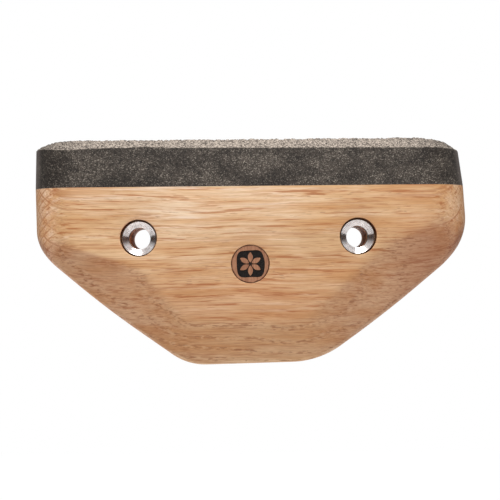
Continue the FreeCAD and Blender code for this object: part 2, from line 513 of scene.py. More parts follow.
@dataclass(frozen=True)
class End:
    """Front view of one end of the hold, as reaches from the middle and drops.

    The drops of the shoulder and the foot are below the bores. Those of the flat face, which
    ends where the bevel starts, are below the joint between oak and stone.
    """

    side: Side
    joint_reach: float
    shoulder_reach: float
    shoulder_drop: float
    shoulder_radius: float
    foot_reach: float
    foot_drop: float
    foot_radius: float
    flat_end_drop: float
    knee_reach: float
    knee_drop: float
    flat_foot_reach: float
    flat_foot_drop: float
    edge_bow: float
    edge_bow_share: float
    stone_top_reach: float

    def joint_corner(self, joint_height: float) -> Vector:
        """Corner of the front view at the joint."""
        return Vector((self.side.value * self.joint_reach, joint_height))

    def outer_corners(self) -> list[Vector]:
        """Corners of the block's lower edges, from the shoulder to the foot.

        Returns:
            The shoulder, the bend of the bowed slanted edge, and the foot.
        """
        sign = self.side.value
        shoulder = Vector((sign * self.shoulder_reach, -self.shoulder_drop))
        foot = Vector((sign * self.foot_reach, -self.foot_drop))
        run = (foot - shoulder).normalized()
        outward = Vector((-sign * run.y, sign * run.x))
        bend = shoulder.lerp(foot, self.edge_bow_share) + outward * self.edge_bow
        return [shoulder, bend, foot]

    def flat_corners(self, joint_height: float) -> list[Vector]:
        """Corners of the flat face's lower border, from the side wall to its foot.

        Args:
            joint_height: Height of the joint above the bores.

        Returns:
            The end, the knee beside the cup and the foot.
        """
        sign = self.side.value
        places = (
            (self.shoulder_reach, self.flat_end_drop),
            (self.knee_reach, self.knee_drop),
            (self.flat_foot_reach, self.flat_foot_drop),
        )
        return [Vector((sign * reach, joint_height - drop)) for reach, drop in places]

    def stone_reach(self, share_up: float) -> float:
        """Reach of the stone's leaning end at a share of the stone's height at the back."""
        return self.joint_reach + (self.stone_top_reach - self.joint_reach) * share_up


@dataclass(frozen=True)
class Form:
    """Sizes that several pieces share, in millimetres."""

    depth: float = 46.0
    joint_height: float = 27.0
    end_radius: float = 22.0
    back_chamfer: float = 1.0
    bore_spacing: float = 114.4
    bore_radius: float = 5.7
    plug_offset: float = 0.9
    plug_drop: float = 13.8
    left: End = End(
        side=Side.LEFT,
        joint_reach=113.9,
        shoulder_reach=113.3,
        shoulder_drop=4.6,
        shoulder_radius=21.1,
        foot_reach=32.5,
        foot_drop=67.0,
        foot_radius=30.2,
        flat_end_drop=24.4,
        knee_reach=53.7,
        knee_drop=41.4,
        flat_foot_reach=34.0,
        flat_foot_drop=68.2,
        edge_bow=2.2,
        edge_bow_share=0.5,
        stone_top_reach=113.2,
    )
    right: End = End(
        side=Side.RIGHT,
        joint_reach=115.6,
        shoulder_reach=117.5,
        shoulder_drop=2.8,
        shoulder_radius=35.3,
        foot_reach=37.0,
        foot_drop=65.5,
        foot_radius=45.8,
        flat_end_drop=12.3,
        knee_reach=74.1,
        knee_drop=25.1,
        flat_foot_reach=26.6,
        flat_foot_drop=70.1,
        edge_bow=1.8,
        edge_bow_share=0.57,
        stone_top_reach=111.6,
    )

    def end_at(self, along: float) -> End:
        """End that a place left (below 0) or right of the middle belongs to."""
        return self.left if along < 0 else self.right

    def end_inset(self, depth: float) -> float:
        """How far the ends are drawn in at a depth behind the front face."""
        reach = self.end_radius - min(depth, self.end_radius)
        return self.end_radius - math.sqrt(self.end_radius**2 - reach**2)


@dataclass(frozen=True)
class Bevel:
    """Profile, at its usual width, of the broad bevel along the oak's lower edges."""

    width: float = 27.0
    blend_width: float = 5.0
    angle: float = 16.0
    edge_radius: float = 3.5
    corner_reach: float = 8.0
    bow_reach: float = 21.4
    corner_room: float = 0.49

    def slope(self) -> float:
        """Depth gained for each millimetre of width."""
        return math.tan(math.radians(self.angle))

    def blend_depth(self) -> float:
        """Depth at which the soft start has reached the full slope."""
        return self.blend_width * self.slope() / 2

    def stages(self) -> tuple[float, float, float]:
        """Depths at which the bevel changes.

        Returns:
            The end of the blend, the end of the straight run and the start of the wall.
        """
        meeting = self.blend_depth() + (self.width - self.blend_width) * self.slope()
        tangent = self.edge_radius * math.tan(math.radians(90 - self.angle) / 2)
        straight_end = meeting - tangent * math.sin(math.radians(self.angle))
        return self.blend_depth(), straight_end, meeting + tangent

    def inset(self, depth: float) -> float:
        """How far the lower edges are drawn in at a depth behind the front face.

        Args:
            depth: Depth behind the front face.

        Returns:
            The inset, square to the edge.
        """
        blend_end, straight_end, wall_start = self.stages()
        if depth <= blend_end:
            return self.width - self.blend_width * math.sqrt(depth / blend_end)
        if depth <= straight_end:
            return self.width - self.blend_width - (depth - blend_end) / self.slope()
        if depth <= wall_start:
            reach = wall_start - depth
            return self.edge_radius - math.sqrt(self.edge_radius**2 - reach**2)
        return 0.0


@dataclass(frozen=True)
class Area:
    """Soft area of the front, about a middle along X and, where it has one, along Z."""

    x_middle: float
    x_fade: Span
    z_fade: Span
    z_middle: float | None = None

    def mask(self, x: Signal, z: Signal) -> Signal:
        """1 inside the area, 0 outside."""
        height = z if self.z_middle is None else abs(z - self.z_middle)
        return height.rise(*self.z_fade) * abs(x - self.x_middle).rise(*self.x_fade)


@dataclass(frozen=True)
class OakPlace:
    """Signals that tell the oak's finish where on the block it is.

    The grain is the place along the trunk, round its rings and across them. The phase runs
    from 0 to 1 through each ring. The others are masks, or places in millimetres.
    """

    place: Signal
    x: Signal
    z: Signal
    depth: Signal
    grain: Signal
    phase: Signal
    wobble: Signal
    bevel: Signal
    rim: Signal
    end: Signal
    left: Signal


@dataclass(frozen=True)
class OakFinish:
    """Oiled oak, sawn so that its rings arch round a centre low in front of the face.

    A strength that is a pair holds on the flat face and on the bevel. At the ends it is a
    pair for the right end and the left one.
    """

    # Where the rings lie, and which way the surface turns.
    pith_y: float = -150.0
    pith_z: float = -30.0
    first_ring: float = 105.2
    mean_radius: float = 115.2
    ring_width: float = 3.5
    ring_sway: float = 7.0
    ring_wobble: float = 0.9
    sway: Pattern = Pattern((95.0, 60.0, 40.0), 1.0, 0.5, 3.1)
    wobble: Pattern = Pattern((22.0, 14.0, 14.0), 2.0, 0.5, 7.7)
    bevel_normal: Span = (-0.02, -0.27)
    rim_normal: Span = (-0.3, -0.7)
    end_normal: Span = (0.25, 0.7)
    left_fade: Span = (0.0, -30.0)

    # Tones of the wood, from pale to dark.
    cream: Colour = (0.860, 0.640, 0.450)
    pale: Colour = (0.755, 0.490, 0.272)
    tan: Colour = (0.637, 0.341, 0.146)
    streak: Colour = (0.560, 0.240, 0.085)
    line: Colour = (0.430, 0.155, 0.050)
    dash: Colour = (0.400, 0.175, 0.070)
    pore: Colour = (0.330, 0.135, 0.055)

    # Broad bands, and fibres that redden as they darken.
    tan_bands: Pattern = Pattern((70.0, 9.0, 5.0), 2.0, 0.5, 1.3, (0.36, 0.66))
    dark_bands: Pattern = Pattern((60.0, 2.6, 2.0), 4.0, 0.68, 5.2, (0.5, 0.68))
    dark_band_strength: Span = (0.4, 0.15)
    cream_bands: Pattern = Pattern((60.0, 2.6, 2.0), 4.0, 0.65, 3.9, (0.5, 0.7))
    cream_band_strength: Span = (0.5, 0.0)
    fibre: Pattern = Pattern((12.0, 0.7, 0.7), 3.0, 0.7, 4.4)
    fibre_contrast: Span = (0.8, 1.15)
    red_power: float = 0.72
    blue_power: float = 1.3

    # Streaks, lines and pores along the grain, and dashes where rings are cut.
    strands: Pattern = Pattern((34.0, 1.7, 1.7), 3.0, 0.62, 9.4, (0.53, 0.63))
    strand_strength: Span = (0.55, 0.15)
    strand_core: Span = (0.605, 0.65)
    short_lines: Pattern = Pattern((11.0, 1.0, 1.0), 1.0, 0.5, 6.2, (0.65, 0.7))
    short_line_strength: float = 0.6
    fine_lines: Pattern = Pattern((34.0, 0.8, 0.8), 1.0, 0.5, 7.9, (0.59, 0.65))
    fine_line_strength: Span = (0.4, 0.8)
    line_strength: Span = (0.8, 0.5)
    pores: Pattern = Pattern((5.0, 0.6, 0.6), 1.0, 0.5, 8.8, (0.62, 0.69))
    pore_strength: Span = (0.45, 0.7)
    early_wood: Pulse = (0.0, 0.06, 0.14, 0.4)
    early_gain: float = 0.05
    late_share: float = 0.2
    contour: Pulse = (0.0, 0.08, 0.25, 0.5)
    contour_strength: float = 0.6
    dashes: Pattern = Pattern((3.4, 1.1, 1.1), 1.0, 0.5, 1.7, (0.57, 0.62))
    dash_gaps: Span = (0.47, 0.4)

    # Rays and rings that show at the ends.
    end_slope: Span = (0.67, 0.74)
    end_wobble: float = 2.0
    end_ring_width: float = 3.2
    end_ring: Pulse = (0.0, 0.08, 0.16, 0.3)
    end_ring_strength: Span = (0.2, 0.65)
    rays: Pattern = Pattern((70.0, 1.5, 45.0), 1.0, 0.5, 6.6, (0.57, 0.63))
    ray_strength: float = 0.75
    ray_reach: Span = (62.0, 100.0)
    ray_face_share: float = 0.6

    # Broad changes of tone, each with the places between which it fades in; most of them are
    # painted light and shade.
    # Darker, redder bevel, more so at the sides: partly the tone of wood cut across the grain,
    # partly painted shade where the surface faces down.
    bevel_tone_and_shade: Colour = (0.90, 0.82, 0.80)
    side_tone_and_shade: Colour = (0.91, 0.88, 0.92)
    side_fade: Span = (25.0, 60.0)
    # Painted shade low on the flat face and towards the right.
    low_painted_shade: Colour = (0.86, 0.76, 0.72)
    low_fade: Span = (2.0, -40.0)
    right_reach: Span = (58.0, 100.0)
    right_fade: Span = (30.0, -4.0)
    # Painted shade on the right bevel.
    right_bevel_painted_shade: Colour = (0.93, 0.92, 0.93)
    right_bevel_fade: Span = (20.0, 60.0)
    # Painted light on the rounded ends, more on the left.
    end_painted_light: Colour = (1.22, 1.22, 1.34)
    end_painted_light_strength: Span = (0.5, 1.0)
    # Painted light on the rounded lower edge, where it faces down.
    rim_painted_light: Colour = (1.50, 1.68, 1.85)
    # Painted light: a paler upper middle and a paler band under the joint.
    painted_pale_light: Colour = (1.18, 1.38, 1.75)
    middle_light_area: Area = Area(-14.0, (54.0, 20.0), (-8.0, 14.0))
    joint_light_area: Area = Area(-55.0, (50.0, 30.0), (15.0, 22.0))
    joint_light_strength: float = 0.7
    cup_shade: Colour = (0.87, 0.82, 0.76)
    cup_shade_area: Area = Area(52.0, (44.0, 14.0), (13.0, 5.0), -5.0)
    cup_shade_strength: Span = (1.0, 0.5)

    roughness: Span = (0.46, 0.66)
    # Depth of the relief in millimetres, and what takes part in it.
    relief: float = 0.08
    fibre_relief: float = 0.25
    pore_relief: float = 0.5
    line_relief: float = 0.1

    def material(self, block_depth: float) -> bpy.types.Material:
        """Draw up the material.

        Args:
            block_depth: Depth of the block from its face to the wall.

        Returns:
            The oak material.
        """
        material, g = new_graph("oiled_oak")
        at = self._place(g, block_depth)
        fibre = g.noise(at.grain, self.fibre)
        strands = g.noise(at.grain, self.strands)
        streaks = strands.rise(*self.strands.shows) * at.bevel.between(*self.strand_strength)
        lines = self._lines(g, at, strands)
        pores = self._pore_mask(g, at)
        layers = [
            (streaks, self.streak),
            (lines * at.bevel.between(*self.line_strength), self.line),
            (pores * at.bevel.between(*self.pore_strength), self.pore),
            *self._ring_contours(g, at),
            (self._end_lines(g, at), self.line),
        ]
        colour = g.lay(self._ground(g, at, fibre), layers)
        # Lay on the broad tones, most of them painted light and shade.
        for share, tint in self._tints(g, at):
            colour = g.mix(share, colour, g.times(colour, tint))
        height = fibre * self.fibre_relief - pores * self.pore_relief - lines * self.line_relief
        g.surface(
            {
                "Base Color": colour,
                "Roughness": fibre.between(*self.roughness),
                "Normal": g.bump(height, self.relief),
            }
        )
        return material

    def _place(self, g: Graph, block_depth: float) -> OakPlace:
        """Work out where on the block and in the trunk a point is.

        Args:
            g: Graph that is being drawn up.
            block_depth: Depth of the block from its face to the wall.

        Returns:
            The signals that the rest of the finish uses.
        """
        place = g.position()
        x, y, z = g.axes(place)
        normal_x, _, normal_z = g.normal()
        sway_y, sway_z, _ = g.axes(g.noise(place, self.sway, "Color"))
        dy = y - self.pith_y + (sway_y - 0.5) * self.ring_sway
        dz = z - self.pith_z + (sway_z - 0.5) * self.ring_sway
        radius = g.maths("SQRT", dy * dy + dz * dz)
        around = g.maths("ARCTAN2", dz, dy) * self.mean_radius
        wobble = g.noise(place, self.wobble) - 0.5
        rings = (radius - self.first_ring) / self.ring_width + wobble * self.ring_wobble
        return OakPlace(
            place=place,
            x=x,
            z=z,
            depth=y + block_depth,
            grain=g.vector(x, around, radius),
            phase=g.maths("FRACT", rings),
            wobble=wobble,
            bevel=normal_z.rise(*self.bevel_normal),
            rim=normal_z.rise(*self.rim_normal),
            end=abs(normal_x).rise(*self.end_normal),
            left=x.rise(*self.left_fade),
        )

    def _ground(self, g: Graph, at: OakPlace, fibre: Signal) -> Signal:
        """Broad bands of the wood, with fibres that turn redder as they darken.

        Args:
            g: Graph that is being drawn up.
            at: Where on the block a point is.
            fibre: Noise of the fibres.

        Returns:
            The colour.
        """
        colour = g.mix(g.patches(at.grain, self.tan_bands), self.pale, self.tan)
        dark = g.patches(at.grain, self.dark_bands)
        dark = dark * at.bevel.between(*self.dark_band_strength)
        cream = g.patches(at.grain, self.cream_bands)
        cream = cream * at.bevel.between(*self.cream_band_strength)
        colour = g.lay(colour, [(dark, self.streak), (cream, self.cream)])
        factor = (fibre - 0.5) * at.bevel.between(*self.fibre_contrast) + 1.0
        return g.times(colour, g.vector(factor**self.red_power, factor, factor**self.blue_power))

    def _lines(self, g: Graph, at: OakPlace, strands: Signal) -> Signal:
        """Mask of the dark lines along the grain.

        Args:
            g: Graph that is being drawn up.
            at: Where on the block a point is.
            strands: Noise of the long strands, whose cores are the longest lines.

        Returns:
            The mask.
        """
        short = g.patches(at.grain, self.short_lines) * self.short_line_strength
        fine = g.patches(at.grain, self.fine_lines) * at.bevel.between(*self.fine_line_strength)
        return g.larger(g.larger(strands.rise(*self.strand_core), short), fine)

    def _pore_mask(self, g: Graph, at: OakPlace) -> Signal:
        """Mask of the pores, which crowd in the early wood of each ring.

        Args:
            g: Graph that is being drawn up.
            at: Where on the block a point is.

        Returns:
            The mask.
        """
        early = at.phase.pulse(*self.early_wood)
        pores = g.noise(at.grain, self.pores) + early * at.bevel * self.early_gain
        return pores.rise(*self.pores.shows) * (self.late_share + early * (1 - self.late_share))

    def _ring_contours(self, g: Graph, at: OakPlace) -> list[tuple[Signal, Colour]]:
        """Dashed contours where the bevel cuts the rings.

        Args:
            g: Graph that is being drawn up.
            at: Where on the block a point is.

        Returns:
            Share and colour of the dark dashes and of the pale gaps between them.
        """
        contour = at.phase.pulse(*self.contour) * at.bevel * self.contour_strength
        dashes = g.noise(at.place, self.dashes)
        dark, pale = dashes.rise(*self.dashes.shows), dashes.rise(*self.dash_gaps)
        return [(contour * dark, self.dash), (contour * pale, self.pale)]

    def _end_lines(self, g: Graph, at: OakPlace) -> Signal:
        """Mask of the rays and ring lines that the rounded ends lay open.

        Args:
            g: Graph that is being drawn up.
            at: Where on the block a point is.

        Returns:
            The mask.
        """
        run, climb = self.end_slope
        across = at.z * run - at.depth * climb
        outward = at.z * climb + at.depth * run + at.wobble * self.end_wobble
        rays = g.patches(g.vector(at.x, across, outward), self.rays) * self.ray_strength
        near_end = abs(at.x).rise(*self.ray_reach) * self.ray_face_share
        rings = g.maths("FRACT", outward / self.end_ring_width).pulse(*self.end_ring)
        rings = rings * at.end * at.left.between(*self.end_ring_strength)
        return g.larger(rays * g.larger(near_end, at.end), rings)

    def _tints(self, g: Graph, at: OakPlace) -> list[tuple[Signal, Colour]]:
        """Broad changes of tone over the block, most of them painted light and shade.

        Args:
            g: Graph that is being drawn up.
            at: Where on the block a point is.

        Returns:
            The share of each tint and its colour, in the order in which they are laid on.
        """
        # Masks of painted shade: low on the flat face, and towards the right.
        low = at.z.rise(*self.low_fade) * (1 - at.bevel)
        right = at.x.rise(*self.right_reach) * at.z.rise(*self.right_fade)
        under_joint = self.joint_light_area.mask(at.x, at.z) * self.joint_light_strength
        beside_cup = self.cup_shade_area.mask(at.x, at.z)
        beside_cup = beside_cup * at.bevel.between(*self.cup_shade_strength)
        return [
            # Bevel tones: partly the cut across the grain, partly painted shade where it faces
            # down.
            (at.bevel, self.bevel_tone_and_shade),
            (at.bevel * abs(at.x).rise(*self.side_fade), self.side_tone_and_shade),
            # Painted shade low on the face, towards the right and on the right bevel.
            (g.larger(low, right), self.low_painted_shade),
            (at.bevel * at.x.rise(*self.right_bevel_fade), self.right_bevel_painted_shade),
            # Painted light on the rounded ends.
            (at.end * at.left.between(*self.end_painted_light_strength), self.end_painted_light),
            # Painted light on the rounded lower edge.
            (at.rim, self.rim_painted_light),
            # Painted light in the upper middle and under the joint.
            (g.larger(self.middle_light_area.mask(at.x, at.z), under_joint), self.painted_pale_light),
            (beside_cup, self.cup_shade),
        ]


@dataclass(frozen=True)
class StoneFinish:
    """Dark stone with pale needles: honed in front, split and rough on top."""

    # The honed front and ends.
    dark: Colour = (0.020, 0.015, 0.012)
    middle: Colour = (0.072, 0.058, 0.047)
    clouds: Pattern = Pattern((18.0, 18.0, 12.0), 4.0, 0.68, 2.2, (0.26, 0.74))
    grains: Pattern = Pattern((1.6, 1.6, 1.6), 3.0, 0.75, 6.1)
    grain_contrast: float = 3.2
    grain_darkening: float = 0.65
    needle: Colour = (0.400, 0.345, 0.285)
    needles: Pattern = Pattern((2.2, 0.45, 0.45), 0.0, 0.5, 0.0, (0.71, 0.8))
    needle_shift: float = 3.7
    needle_turns: tuple[float, ...] = (0.25, 0.85, 1.5, 2.15, 2.8)
    needle_tilt: float = 0.3
    needle_strength: Span = (0.35, 0.85)
    needle_clouds: Span = (0.4, 0.65)
    sheen: Colour = (0.320, 0.265, 0.240)
    sheen_normal: Span = (0.78, 0.96)
    sheen_strength: float = 0.42
    # The split top.
    rough_dark: Colour = (0.045, 0.034, 0.027)
    rough_pale: Colour = (0.600, 0.510, 0.430)
    specks: Pattern = Pattern((1.0, 1.0, 1.0), 3.0, 0.72, 1.9, (0.38, 0.62))
    pit: Colour = (0.035, 0.029, 0.024)
    pits: Pattern = Pattern((2.4, 2.4, 2.4), 2.0, 0.6, 8.3, (0.56, 0.66))
    pit_strength: float = 0.88
    # Along X, where the split top darkens towards the ends.
    end_reach: Span = (78.0, 110.0)
    end_darkening: float = 0.4
    roughness: Span = (0.5, 0.85)
    mirror_level: float = 0.3
    relief: float = 0.25
    grain_relief: float = 0.3

    def material(self) -> bpy.types.Material:
        """Draw up the material.

        Returns:
            The stone material.
        """
        material, g = new_graph("dark_stone")
        place = g.position()
        grains = g.noise(place, self.grains)
        specks = g.noise(place, self.specks)
        rough = g.painted("rough")
        honed, split = self._honed(g, place, grains), self._split(g, place, specks)
        height = grains * self.grain_relief + specks * rough
        g.surface(
            {
                "Base Color": g.mix(rough, honed, split),
                "Roughness": rough.between(*self.roughness),
                "Specular IOR Level": self.mirror_level,
                "Normal": g.bump(height, self.relief),
            }
        )
        return material

    def _honed(self, g: Graph, place: Signal, grains: Signal) -> Signal:
        """Cloudy dark stone with needles, and a sheen where it turns to the sides.

        Args:
            g: Graph that is being drawn up.
            place: Position in millimetres.
            grains: Noise of the grains.

        Returns:
            The colour.
        """
        clouds = g.noise(place, self.clouds)
        colour = g.mix(clouds.rise(*self.clouds.shows), self.dark, self.middle)
        colour = g.shade(colour, grains * self.grain_contrast - self.grain_darkening)
        needles = clouds.rise(*self.needle_clouds).between(*self.needle_strength)
        needles = needles * self._needle_mask(g, place)
        normal_x, _, _ = g.normal()
        sheen = abs(normal_x).rise(*self.sheen_normal) * self.sheen_strength
        return g.lay(colour, [(needles, self.needle), (sheen, self.sheen)])

    def _needle_mask(self, g: Graph, place: Signal) -> Signal:
        """Mask of the needles, which lie in several directions.

        Args:
            g: Graph that is being drawn up.
            place: Position in millimetres.

        Returns:
            The mask.
        """
        layers = []
        for number, turn in enumerate(self.needle_turns):
            settings = {"rotation_type": "EULER_XYZ"}
            inputs = {"Vector": place, "Rotation": (self.needle_tilt, turn, -self.needle_tilt)}
            turned = g.node("ShaderNodeVectorRotate", settings, inputs)
            pattern = replace(self.needles, shift=number * self.needle_shift)
            layers.append(g.patches(turned, pattern))
        mask = layers[0]
        for layer in layers[1:]:
            mask = g.larger(mask, layer)
        return mask

    def _split(self, g: Graph, place: Signal, specks: Signal) -> Signal:
        """Pale broken stone with dark pits, darker towards the ends.

        Args:
            g: Graph that is being drawn up.
            place: Position in millimetres.
            specks: Noise of the broken crystals.

        Returns:
            The colour.
        """
        x, _, _ = g.axes(place)
        colour = g.mix(specks.rise(*self.specks.shows), self.rough_dark, self.rough_pale)
        colour = g.mix(g.patches(place, self.pits) * self.pit_strength, colour, self.pit)
        return g.shade(colour, 1 - abs(x).rise(*self.end_reach) * self.end_darkening)


@dataclass(frozen=True)
class SteelFinish:
    """Bright turned steel with duller stains."""

    bright: Colour = (0.80, 0.765, 0.755)
    dull: Colour = (0.60, 0.56, 0.55)
    stains: Pattern = Pattern((2.5, 2.5, 2.5), 3.0, 0.6, 4.4, (0.42, 0.72))
    roughness: Span = (0.1, 0.2)

    def material(self) -> bpy.types.Material:
        """Draw up the material.

        Returns:
            The steel material.
        """
        material, g = new_graph("turned_steel")
        stains = g.noise(g.position(), self.stains)
        colour = g.mix(stains.rise(*self.stains.shows), self.bright, self.dull)
        roughness = stains.between(*self.roughness)
        g.surface({"Base Color": colour, "Metallic": 1.0, "Roughness": roughness})
        return material


@dataclass(frozen=True)
class PlugFinish:
    """Reddish plug wood with a burnt rim and a charred field, burnt line by line."""

    wood: Colour = (0.310, 0.135, 0.075)
    wood_pale: Colour = (0.440, 0.215, 0.122)
    streaks: Pattern = Pattern((0.8, 4.0, 7.0), 3.0, 0.6, 3.3, (0.36, 0.66))
    burnt_rim: Colour = (0.085, 0.030, 0.015)
    rim_noise: Pattern = Pattern((2.0, 2.0, 2.0), 2.0, 0.5, 5.0)
    rim_unevenness: float = 1.3
    rim_band: Span = (0.75, 0.2)
    rim_strength: float = 0.9
    char: Colour = (0.008, 0.005, 0.004)
    ash: Colour = (0.036, 0.031, 0.030)
    raster_pitch: float = 0.55
    flecks: Pattern = Pattern((1.2, 0.5, 0.35), 2.0, 0.6, 7.0, (0.42, 0.68))
    roughness: Span = (0.55, 0.85)
    mirror_level: float = 0.2
    relief: float = 0.06
    streak_relief: float = 0.3

    def material(self, x_middle: float, z_middle: float, radius: float) -> bpy.types.Material:
        """Draw up the material.

        Args:
            x_middle: Middle of the plug along X.
            z_middle: Middle of the plug along Z.
            radius: Radius of the plug.

        Returns:
            The plug material.
        """
        material, g = new_graph("plug_wood")
        place = g.position()
        x, _, z = g.axes(place)
        streaks = g.noise(place, self.streaks)
        colour = g.mix(streaks.rise(*self.streaks.shows), self.wood, self.wood_pale)
        dx = x - x_middle
        dz = z - z_middle
        reach = g.maths("SQRT", dx * dx + dz * dz)
        reach = reach + (g.noise(place, self.rim_noise) - 0.5) * self.rim_unevenness
        rim_start, rim_full = (radius - width for width in self.rim_band)
        burnt = reach.rise(rim_start, rim_full) * self.rim_strength
        colour = g.mix(burnt, colour, self.burnt_rim)
        charred = g.painted("charred")
        raster = g.maths("SINE", z * (2 * math.pi / self.raster_pitch)) * 0.5 + 0.5
        coal = g.mix(raster * g.patches(place, self.flecks), self.char, self.ash)
        height = streaks * self.streak_relief + raster * charred
        g.surface(
            {
                "Base Color": g.mix(charred, colour, coal),
                "Roughness": charred.between(*self.roughness),
                "Specular IOR Level": self.mirror_level,
                "Normal": g.bump(height, self.relief),
            }
        )
        return material


@dataclass(frozen=True)
class Hole:
    """A round hole in the oak's face, and the middle of the bore behind it, if it has one."""

    x: float
    z: float
    radius: float
    depth: float
    bore: Flat | None = None


@dataclass
class OakBlock:
    """The shaped block with its two stepped screw bores and the pocket of the plug."""

    form: Form
    bevel: Bevel
    finish: OakFinish
    seat_radius: float = 9.7
    seat_depth: float = 9.2
    seat_outward: float = 0.35
    seat_lift: float = 0.25
    pocket_radius: float = 10.1
    pocket_depth: float = 8.2
    rim_ease: float = 0.25
    crease: float = 32.0
    circle_points: int = 96
    side_points: int = 16
    slant_points: int = 24
    foot_points: int = 36
    arc_points: int = 14
    top_points: int = 60

    def outline(self, depth: float, end_in: float, lower_in: float) -> list[Point]:
        """Closed outline at a depth, with the same number of points at every depth.

        Args:
            depth: Depth behind the front face.
            end_in: How far the ends are drawn in.
            lower_in: How far the lower edges of the bevel's usual width are drawn in.

        Returns:
            Points of the outline, starting at the left end of the joint.
        """
        left, right = self.form.left, self.form.right
        joint = self.form.joint_height
        share = lower_in / self.bevel.width
        outer = left.outer_corners() + right.outer_corners()[::-1]
        flat = left.flat_corners(joint) + right.flat_corners(joint)[::-1]
        corners = [start.lerp(end, share) for start, end in zip(outer, flat)]
        joint_left, joint_right = left.joint_corner(joint), right.joint_corner(joint)
        first = joint_left + Vector((end_in, 0))
        last = joint_right - Vector((end_in, 0))
        first_run, last_run = corners[1] - corners[0], corners[-2] - corners[-1]
        corners[0] = crossing(first, outer[0] - joint_left, corners[0], first_run)
        corners[-1] = crossing(last, outer[-1] - joint_right, corners[-1], last_run)

        sides, slants = self.side_points, self.slant_points
        counts = (sides, slants, slants, self.foot_points, slants, slants)
        stops = [first, *corners, last]
        outer_reaches = self._outer_reaches([joint_left, *outer, joint_right])
        drawn: list[Vector] = []
        pen = first
        for number, (outer_reach, count) in enumerate(zip(outer_reaches, counts)):
            before, corner, after = stops[number : number + 3]
            room = min((corner - before).length, (after - corner).length) * self.bevel.corner_room
            reach = outer_reach + (self.bevel.corner_reach - outer_reach) * share
            arc = self._corner(before, corner, after, min(reach, room))
            drawn += [pen.lerp(arc[0], i / count) for i in range(count)]
            drawn += arc[:-1]
            pen = arc[-1]
        drawn += [pen.lerp(last, i / sides) for i in range(sides)]
        drawn += [last.lerp(first, i / self.top_points) for i in range(self.top_points)]
        return [(point.x, depth - self.form.depth, point.y) for point in drawn]

    def _outer_reaches(self, stops: list[Vector]) -> list[float]:
        """How far each rounding of the outer outline reaches from its corner.

        Args:
            stops: Corners of the outline with its two ends.

        Returns:
            The reaches from the left shoulder to the right one.
        """
        left, right = self.form.left, self.form.right
        left_radii = [left.shoulder_radius, None, left.foot_radius]
        right_radii = [right.foot_radius, None, right.shoulder_radius]
        reaches = []
        for number, radius in enumerate(left_radii + right_radii):
            before, corner, after = stops[number : number + 3]
            half_turn = (corner - before).angle(after - corner) / 2
            bow_reach = self.bevel.bow_reach
            reaches.append(bow_reach if radius is None else radius * math.tan(half_turn))
        return reaches

    def _corner(self, before: Vector, corner: Vector, after: Vector, reach: float) -> list[Vector]:
        """Round the corner between two lines.

        Args:
            before: Where the first line comes from.
            corner: Where the two lines meet.
            after: Where the second line goes.
            reach: How far the rounding reaches along both lines.

        Returns:
            Points of the arc with both ends.
        """
        way_in = (corner - before).normalized()
        way_out = (after - corner).normalized()
        start, end = corner - way_in * reach, corner + way_out * reach
        weight = math.cos(way_in.angle(way_out) / 2)
        arc = []
        for i in range(self.arc_points + 1):
            t = i / self.arc_points
            shares = ((1 - t) ** 2, 2 * t * (1 - t) * weight, t**2)
            point = start * shares[0] + corner * shares[1] + end * shares[2]
            arc.append(point / sum(shares))
        return arc

    def depths(self) -> list[float]:
        """Depths of the rings from the flat front face to the plain walls.

        Returns:
            Depths behind the front face.
        """
        blend_end, straight_end, wall_start = self.bevel.stages()
        blend_steps, straight_steps, edge_steps, end_steps = 12, 6, 12, 10
        depths = [blend_end * (i / blend_steps) ** 2 for i in range(blend_steps + 1)]
        spans = (
            (blend_end, straight_end, straight_steps),
            (straight_end, wall_start, edge_steps),
            (wall_start, self.form.end_radius, end_steps),
        )
        for start, end, steps in spans:
            depths += [start + (end - start) * (i + 1) / steps for i in range(steps)]
        return depths

    def holes(self) -> list[Hole]:
        """Round holes in the face: the two seats with their bores, and the plug's pocket.

        Returns:
            The holes, from left to right and then the pocket.
        """
        holes = []
        for side in Side:
            x = side.value * self.form.bore_spacing / 2
            seat_x = x + side.value * self.seat_outward
            seat = Hole(seat_x, self.seat_lift, self.seat_radius, self.seat_depth, (x, 0.0))
            holes.append(seat)
        pocket_x, pocket_z = self.form.plug_offset, -self.form.plug_drop
        holes.append(Hole(pocket_x, pocket_z, self.pocket_radius, self.pocket_depth))
        return holes

    def build(self) -> bpy.types.Object:
        """Build and dress the block.

        Returns:
            The oak piece.
        """
        skin = Skin()
        form = self.form
        rows = [
            skin.loop(self.outline(depth, form.end_inset(depth), self.bevel.inset(depth)))
            for depth in self.depths()
        ]
        wall_steps = 5
        wall_start, wall_end = form.end_radius, form.depth - form.back_chamfer
        for i in range(wall_steps):
            depth = wall_start + (wall_end - wall_start) * (i + 1) / wall_steps
            rows.append(skin.loop(self.outline(depth, 0.0, 0.0)))
        rows.append(skin.loop(self.outline(form.depth, form.back_chamfer, form.back_chamfer)))
        skin.loft(rows)
        rims = [self._sink(skin, hole) for hole in self.holes()]
        skin.fill(rows[0], [front_rim for front_rim, _ in rims])
        skin.fill(rows[-1], [back_rim for _, back_rim in rims if back_rim])
        return skin.build("oak_block", self.finish.material(form.depth), self.crease)

